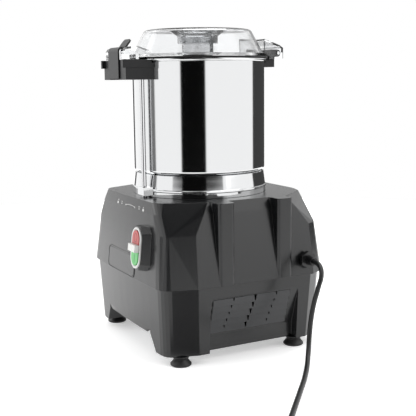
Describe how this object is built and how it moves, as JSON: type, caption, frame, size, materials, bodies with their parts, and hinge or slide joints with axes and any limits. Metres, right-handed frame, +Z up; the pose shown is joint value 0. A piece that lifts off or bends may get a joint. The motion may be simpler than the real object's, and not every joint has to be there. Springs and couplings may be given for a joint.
{
  "type": "bowl cutter",
  "caption": "Bench-top bowl cutter with a lift-off steel bowl, clear hinged lid with latch, curved blades on a direct-drive hub and a louvred dark base with a mains lead.",
  "frame": {"origin": "centre of the machine's footprint on the floor, under the bowl axis", "axes": "+Z up along the bowl axis, -Y towards the front panel with the switch, +X towards the side with the cord gland"},
  "size_m": [0.6426, 0.3351, 0.468],
  "materials": {
    "shell": "satin dark grey moulded plastic",
    "plate": "zinc plated sheet",
    "rubber": "black rubber",
    "fastener": "zinc plated steel",
    "casting": "fine cast aluminium",
    "motor_paint": "grey enamel",
    "core_steel": "stacked sheet steel",
    "winding": "varnished copper wire",
    "steel": "ground stainless steel",
    "blade_steel": "ground stainless blade",
    "bowl_steel": "mirror polished stainless steel",
    "chrome_rod": "bright chrome",
    "black_plastic": "black moulded plastic",
    "white_plastic": "white moulded plastic",
    "lamp": "milky lamp lens",
    "red_plastic": "red moulded plastic",
    "green_plastic": "green moulded plastic",
    "cord_sheath": "black cord sheath",
    "brass": "brass pins",
    "clear_plastic": "clear polished polycarbonate"
  },
  "bodies": {
    "base": {"upper_housing": "shell", "lower_housing": "shell", "base_plate": "plate", "vent_panel_right": "shell", "vent_panel_left": "shell", "foot_front_left": "rubber", "foot_front_right": "rubber", "foot_rear_left": "rubber", "foot_rear_right": "rubber", "foot_screws": "fastener", "bowl_seat": "casting", "shaft_seal": "rubber", "motor_flange": "casting", "flange_screws": "fastener", "motor_can": "motor_paint", "stator_core": "core_steel", "stator_windings": "winding", "lower_end_bell": "casting", "tie_rods": "fastener", "upper_bearing": "fastener", "lower_bearing": "fastener", "run_capacitor": "black_plastic", "control_box": "black_plastic", "microswitch": "black_plastic", "switch_block": "black_plastic", "switch_bezel": "white_plastic", "pilot_lamp": "lamp", "cord_gland": "black_plastic", "gland_nut": "black_plastic", "mains_cord": "cord_sheath", "cord_coil": "cord_sheath", "mains_plug": "black_plastic", "plug_pins": "brass"},
    "rotor": {"motor_shaft": "steel", "rotor_core": "core_steel", "cooling_fan": "black_plastic"},
    "bowl": {"bowl": "bowl_steel", "bowl_skirt": "bowl_steel", "latch_bracket": "black_plastic", "latch_pin": "steel", "rod_guide": "steel", "hinge_bracket": "shell", "hinge_pin": "steel", "bracket_rivets": "steel", "rod_spring": "steel"},
    "interlock": {"interlock_rod": "chrome_rod"},
    "latch": {"latch_lever": "shell"},
    "lid": {"lid_dome": "clear_plastic", "lid_gasket": "rubber"},
    "cap": {"filler_cap": "clear_plastic"},
    "knife": {"knife_hub": "steel", "lower_blade": "blade_steel", "upper_blade": "blade_steel", "blade_spacer": "steel", "hub_knob": "black_plastic"},
    "stop": {"stop_button": "red_plastic"},
    "start": {"start_button": "green_plastic"}
  },
  "joints": [
    {"name": "rotor_spin", "type": "hinge", "parent": "base", "child": "rotor", "pos_m": [0, 0, 0.15], "axis": [0, 0, 1], "continuous": true},
    {"name": "bowl_lift", "type": "slide", "parent": "base", "child": "bowl", "axis": [0, 0, 1], "range_m": [0, 0.11]},
    {"name": "knife_spin", "type": "hinge", "parent": "bowl", "child": "knife", "pos_m": [0, 0, 0.3], "axis": [0, 0, 1], "continuous": true},
    {"name": "rod_slide", "type": "slide", "parent": "bowl", "child": "interlock", "axis": [0, 0, 1], "range_m": [0, 0.006], "deforming": ["rod_spring"]},
    {"name": "latch_turn", "type": "hinge", "parent": "bowl", "child": "latch", "pos_m": [0, -0.129, 0.402], "axis": [1, 0, 0], "range_deg": [0, 60], "stiffness_Nm_per_rad": 0.02, "springref_deg": -22.92},
    {"name": "lid_open", "type": "hinge", "parent": "bowl", "child": "lid", "pos_m": [0, 0.12, 0.434], "axis": [-1, 0, 0], "range_deg": [0, 100]},
    {"name": "cap_lift", "type": "slide", "parent": "lid", "child": "cap", "axis": [0, 0, 1], "range_m": [0, 0.05]},
    {"name": "stop_press", "type": "slide", "parent": "base", "child": "stop", "axis": [0, 0.9955, -0.0944], "range_m": [0, 0.003], "stiffness_N_per_m": 300},
    {"name": "start_press", "type": "slide", "parent": "base", "child": "start", "axis": [0, 0.9955, -0.0944], "range_m": [0, 0.003], "stiffness_N_per_m": 300}
  ],
  "couplings": [
    {"joint": "knife_spin", "follows": "rotor_spin", "ratio": 1},
    {"joint": "rod_slide", "follows": "lid_open", "m_per_rad": 0.00343}
  ]
}
